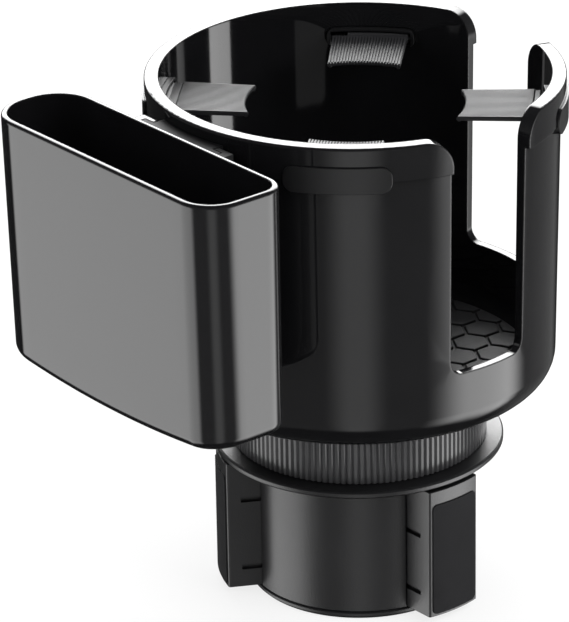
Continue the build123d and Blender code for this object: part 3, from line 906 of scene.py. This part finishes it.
@dataclass(frozen=True)
class CrossScrew:
    """Screw with a cross recess and a rolled thread."""

    node: str
    head: ScrewHead
    head_radius: float
    head_height: float
    shank_radius: float
    length: float
    thread_pitch: float = 0.9
    thread_depth: float = 0.25
    recess_reach: float = 1.35
    recess_width: float = 0.55
    recess_depth: float = 0.95
    recess_clearance: float = 0.1
    recess_taper: tuple[float, float] = (1.06, 0.55)
    segments: int = 40
    smooth_below: float = 28.0

    def build(self, wardrobe: Wardrobe) -> None:
        """Builds the screw and puts it in its node's place.

        Args:
            wardrobe: The finishes.
        """
        form = bmesh.new()
        turned(form, self._profile(), self.segments)
        body = finish_mesh("uncut_screw", form, self._pose())
        tool = self._recess_tool()
        cut = body.modifiers.new("recess", "BOOLEAN")
        cut.operation = "DIFFERENCE"
        cut.solver = "EXACT"
        cut.object = tool
        graph = bpy.context.evaluated_depsgraph_get()
        mesh = bpy.data.meshes.new_from_object(body.evaluated_get(graph))
        piece = bpy.data.objects.new("cross_" + self.node, mesh)
        bpy.context.scene.collection.objects.link(piece)
        mesh.shade_smooth()
        mesh.set_sharp_from_angle(angle=math.radians(self.smooth_below))
        bpy.data.objects.remove(body)
        bpy.data.objects.remove(tool)
        wardrobe.install(piece, self.node, "holder", "screw_steel")

    def _pose(self) -> Matrix:
        """Finds the pose of the head's outer face, with the tip along local Z, from the node's place.

        Returns:
            The pose in millimetres.
        """
        low, high = (Vector(corner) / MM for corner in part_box(self.node))
        middle = (low + high) / 2.0
        if self.head is ScrewHead.COUNTERSUNK:
            return Matrix.Translation((middle.x, middle.y, low.z))
        outward = Matrix.Rotation(math.radians(-90.0), 4, "Y")
        return Matrix.Translation((high.x, middle.y, middle.z)) @ outward

    def _profile(self) -> list[tuple[float, float]]:
        """Gives the screw's radii and heights from the head's face to the tip.

        Returns:
            The profile's points.
        """
        if self.head is ScrewHead.COUNTERSUNK:
            profile = [
                (self.head_radius - 0.12, 0.0),
                (self.head_radius, 0.1),
                (self.shank_radius, self.head_height),
            ]
        else:
            profile = [
                (self.head_radius - 0.9, 0.0),
                (self.head_radius - 0.4, 0.12),
                (self.head_radius - 0.08, 0.45),
                (self.head_radius, 0.8),
                (self.head_radius, self.head_height),
                (self.shank_radius, self.head_height),
            ]
        height = self.head_height + self.thread_pitch
        while height < self.length - 2.0 * self.thread_pitch:
            profile.append((self.shank_radius - self.thread_depth, height))
            profile.append((self.shank_radius, height + self.thread_pitch / 2.0))
            height += self.thread_pitch
        profile.append((self.shank_radius - self.thread_depth, self.length - self.thread_pitch))
        profile.append((self.shank_radius * 0.25, self.length))
        return profile

    def _recess_tool(self) -> bpy.types.Object:
        """Makes the tapered cross that cuts the recess.

        Returns:
            The cutting object.
        """
        form = bmesh.new()
        rings = []
        for depth, share in zip((-self.recess_clearance, self.recess_depth), self.recess_taper):
            reach = self.recess_reach * share
            half = self.recess_width * (0.5 + share) / 3.0
            corners = []
            for quarter in range(4):
                turn = Matrix.Rotation(math.radians(90.0 * quarter), 3, "Z")
                for spot in ((reach, -half), (reach, half), (half, half)):
                    corners.append(turn @ Vector((*spot, depth)))
            rings.append(corners)
        join_rings(form, rings, closed=False)
        return finish_mesh("recess_tool", form, self._pose())


@dataclass(frozen=True)
class SoftBox:
    """A soft light that the glossy parts reflect, placed by its turn from the camera and its height."""

    glow: float
    turn_rise: tuple[float, float]
    turn_fall: tuple[float, float]
    height_rise: tuple[float, float] = (-54.0, -40.0)
    height_fall: tuple[float, float] = (-15.0, -3.0)
    both_sides: bool = False

    def brightness(
        self, nodes: Nodes, turn: bpy.types.NodeSocket, height: bpy.types.NodeSocket
    ) -> bpy.types.NodeSocket:
        """Lays out the softbox's brightness by direction.

        Args:
            nodes: The surround's nodes.
            turn: The direction's turn from the camera in degrees.
            height: The direction's height above the horizon in degrees.

        Returns:
            The brightness socket.
        """
        if self.both_sides:
            turn = nodes.math("ABSOLUTE", turn)
        level = nodes.math("MULTIPLY", nodes.ease(turn, *self.turn_rise), nodes.ease(turn, *self.turn_fall[::-1]))
        level = nodes.math("MULTIPLY", level, nodes.ease(height, *self.height_rise))
        level = nodes.math("MULTIPLY", level, nodes.ease(height, *self.height_fall[::-1]))
        return nodes.math("MULTIPLY", level, self.glow)


@dataclass(frozen=True)
class SoftLamp:
    """A square lamp that faces the object, placed by its turn from the camera."""

    name: str
    turn: float
    elevation: float
    distance: float
    size: float
    power: float

    def build(self, camera_azimuth: float, aim: Vector) -> None:
        """Makes the lamp.

        Args:
            camera_azimuth: The azimuth that the turn counts from, in degrees.
            aim: The point that it faces.
        """
        data = bpy.data.lights.new(self.name, "AREA")
        data.shape = "SQUARE"
        data.size = self.size
        data.energy = self.power
        lamp = bpy.data.objects.new(self.name, data)
        bpy.context.scene.collection.objects.link(lamp)
        turn = math.radians(self.turn + camera_azimuth)
        lift = math.radians(self.elevation)
        back = Vector((math.sin(turn) * math.cos(lift), -math.cos(turn) * math.cos(lift), math.sin(lift)))
        lamp.location = aim + back * self.distance
        lamp.rotation_mode = "QUATERNION"
        lamp.rotation_quaternion = (-back).to_track_quat("-Z", "Y")
        lamp.visible_glossy = False


@dataclass
class Studio:
    """Floor, surround, lamps and camera."""

    photo_width: int = 569
    photo_height: int = 622
    focal_pixels: float = 4500.0
    camera_azimuth: float = -40.0
    camera_distance: float = 1.09396
    camera_height: float = 0.56463
    camera_yaw: float = -0.017766
    camera_pitch: float = 0.419229
    camera_roll: float = -0.0176647
    sensor: float = 36.0
    floor_half: float = 3.0
    floor_tone: tuple[float, float] = (0.84, 0.88)
    floor_white_share: float = 0.8
    surround_radius: float = 4.0
    surround_height: float = 0.1
    room_glow: float = 0.03
    world_glow: float = 0.55
    soft_boxes: tuple[SoftBox, ...] = (
        SoftBox(4.5, (39.0, 68.0), (94.0, 114.0), (-58.0, -34.0)),
        SoftBox(2.65, (-115.0, -106.0), (-66.0, -50.0)),
        SoftBox(0.74, (-21.0, -4.0), (2.0, 19.0)),
        SoftBox(0.2, (-114.0, -106.0), (150.0, 165.0), height_fall=(-15.0, 60.0)),
        SoftBox(9.0, (135.0, 152.0), (190.0, 200.0), (6.0, 13.0), (38.0, 48.0), both_sides=True),
    )
    lamp_aim_height: float = 0.08
    lamps: tuple[SoftLamp, ...] = (
        SoftLamp("key", 60.0, 40.0, 1.0, 0.7, 9.0),
        SoftLamp("fill", -70.0, 25.0, 1.0, 0.8, 3.5),
        SoftLamp("top", 180.0, 65.0, 1.1, 0.8, 12.0),
    )

    def build(self) -> None:
        """Makes the whole studio."""
        self._world()
        self._floor()
        self._surround()
        self._lamps()
        self._camera()
        bpy.context.scene.view_settings.view_transform = "Standard"
        log.info("studio and camera are set")

    def _world(self) -> None:
        """A plain pale room, white where the background shows."""
        world = bpy.data.worlds.new("pale_room")
        world.use_nodes = True
        tree = world.node_tree
        background = tree.nodes["Background"]
        background.inputs["Color"].default_value = (1.0, 1.0, 1.0, 1.0)
        path = tree.nodes.new("ShaderNodeLightPath")
        seen = tree.nodes.new("ShaderNodeMath")
        seen.operation = "MAXIMUM"
        tree.links.new(path.outputs["Is Camera Ray"], seen.inputs[0])
        tree.links.new(path.outputs["Is Transmission Ray"], seen.inputs[1])
        also = tree.nodes.new("ShaderNodeMath")
        also.operation = "MAXIMUM"
        tree.links.new(seen.outputs[0], also.inputs[0])
        tree.links.new(path.outputs["Is Glossy Ray"], also.inputs[1])
        strength = tree.nodes.new("ShaderNodeMapRange")
        strength.inputs["To Min"].default_value = self.world_glow
        strength.inputs["To Max"].default_value = 1.0
        tree.links.new(also.outputs[0], strength.inputs["Value"])
        tree.links.new(strength.outputs["Result"], background.inputs["Strength"])
        bpy.context.scene.world = world

    def _floor(self) -> None:
        """A wide pale floor that keeps the object's shadow."""
        mesh = bpy.data.meshes.new("floor")
        half = self.floor_half
        corners = [(-half, -half, 0), (half, -half, 0), (half, half, 0), (-half, half, 0)]
        mesh.from_pydata(corners, [], [(0, 1, 2, 3)])
        floor = bpy.data.objects.new("floor", mesh)
        bpy.context.scene.collection.objects.link(floor)
        nodes = Nodes("pale_floor")
        coords = nodes.add("TexCoord").outputs["Object"]
        cloud = nodes.add("TexNoise", Scale=3.0, Detail=2.0)
        nodes.link(coords, cloud.inputs["Vector"])
        tone = nodes.add("MapRange")
        tone.inputs["To Min"].default_value, tone.inputs["To Max"].default_value = self.floor_tone
        nodes.link(cloud.outputs["Fac"], tone.inputs["Value"])
        paper = nodes.add("BsdfDiffuse")
        nodes.link(tone.outputs["Result"], paper.inputs["Color"])
        white = nodes.add("Emission", Strength=1.0)
        path = nodes.add("LightPath")
        seen = nodes.math("MAXIMUM", path.outputs["Is Camera Ray"], path.outputs["Is Glossy Ray"])
        seen = nodes.math("MAXIMUM", seen, path.outputs["Is Transmission Ray"])
        share = nodes.math("MULTIPLY", seen, self.floor_white_share)
        mix = nodes.add("MixShader")
        nodes.link(share, mix.inputs["Fac"])
        nodes.link(paper.outputs[0], mix.inputs[1])
        nodes.link(white.outputs[0], mix.inputs[2])
        output = nodes.add("OutputMaterial")
        nodes.link(mix.outputs[0], output.inputs["Surface"])
        mesh.materials.append(nodes.material)
        floor.visible_glossy = False

    def _surround(self) -> None:
        """A round studio tent that only reflections see, with its softboxes."""
        mesh = bpy.data.meshes.new("surround")
        form = bmesh.new()
        bmesh.ops.create_uvsphere(form, u_segments=48, v_segments=24, radius=self.surround_radius)
        form.to_mesh(mesh)
        form.free()
        tent = bpy.data.objects.new("surround", mesh)
        bpy.context.scene.collection.objects.link(tent)
        tent.location = (0.0, 0.0, self.surround_height)
        nodes = Nodes("studio_surround")
        coords = nodes.add("TexCoord").outputs["Object"]
        spin = nodes.add("VectorRotate", rotation_type="Z_AXIS")
        spin.inputs["Angle"].default_value = -math.radians(self.camera_azimuth)
        nodes.link(coords, spin.inputs["Vector"])
        unit = nodes.add("VectorMath", operation="NORMALIZE")
        nodes.link(spin.outputs["Vector"], unit.inputs[0])
        split = nodes.add("SeparateXYZ")
        nodes.link(unit.outputs["Vector"], split.inputs["Vector"])
        toward = nodes.math("MULTIPLY", split.outputs["Y"], -1.0)
        degrees = math.degrees(1.0)
        turn = nodes.math("MULTIPLY", nodes.math("ARCTAN2", split.outputs["X"], toward), degrees)
        height = nodes.math("MULTIPLY", nodes.math("ARCSINE", split.outputs["Z"]), degrees)
        total = nodes.math("ADD", 0.0, self.room_glow)
        for box in self.soft_boxes:
            total = nodes.math("ADD", total, box.brightness(nodes, turn, height))
        glow = nodes.add("Emission")
        nodes.link(total, glow.inputs["Strength"])
        output = nodes.add("OutputMaterial")
        nodes.link(glow.outputs[0], output.inputs["Surface"])
        mesh.materials.append(nodes.material)
        tent.visible_camera = False
        tent.visible_diffuse = False
        tent.visible_transmission = False
        tent.visible_shadow = False

    def _lamps(self) -> None:
        """Soft lamps for the matte surfaces and the shadow."""
        for lamp in self.lamps:
            lamp.build(self.camera_azimuth, Vector((0.0, 0.0, self.lamp_aim_height)))

    def _camera(self) -> None:
        """The photograph's viewpoint."""
        data = bpy.data.cameras.new("camera")
        data.sensor_width = self.sensor
        data.lens = self.focal_pixels * self.sensor / max(self.photo_width, self.photo_height)
        data.clip_start = 0.01
        data.clip_end = 50.0
        camera = bpy.data.objects.new("camera", data)
        bpy.context.scene.collection.objects.link(camera)
        spin = Matrix.Rotation(math.radians(self.camera_azimuth), 3, "Z")
        level = math.cos(self.camera_pitch)
        forward = spin @ Vector((
            math.sin(self.camera_yaw) * level,
            math.cos(self.camera_yaw) * level,
            -math.sin(self.camera_pitch),
        ))
        right = forward.cross(Vector((0.0, 0.0, 1.0))).normalized()
        up = right.cross(forward)
        cosine = math.cos(self.camera_roll)
        sine = math.sin(self.camera_roll)
        right_rolled = right * cosine + up * sine
        up_rolled = up * cosine - right * sine
        pose = Matrix((right_rolled, up_rolled, -forward)).transposed().to_4x4()
        pose.translation = spin @ Vector((0.0, -self.camera_distance, self.camera_height))
        camera.matrix_world = pose
        bpy.context.scene.camera = camera


def main() -> None:
    """Builds the studio and dresses every piece of the cup holder."""
    Studio().build()
    wardrobe = Wardrobe()
    wardrobe.dress_nodes()
    for place, azimuth in FLAP_AZIMUTHS.items():
        SprungFlap(place, azimuth).build(wardrobe)
        FlapSpring(place, azimuth).build(wardrobe)
    HoneycombMat().build(wardrobe)
    SideBox().build(wardrobe)
    for number in (1, 2, 3):
        CrossScrew(f"cover_screw_{number}", ScrewHead.COUNTERSUNK, 2.25, 1.2, 1.2, 13.85).build(wardrobe)
    for number in (1, 2):
        CrossScrew(f"rail_screw_{number}", ScrewHead.PAN, 3.0, 1.6, 1.5, 9.4, recess_reach=1.7).build(wardrobe)


if __name__ == "__main__":
    main()
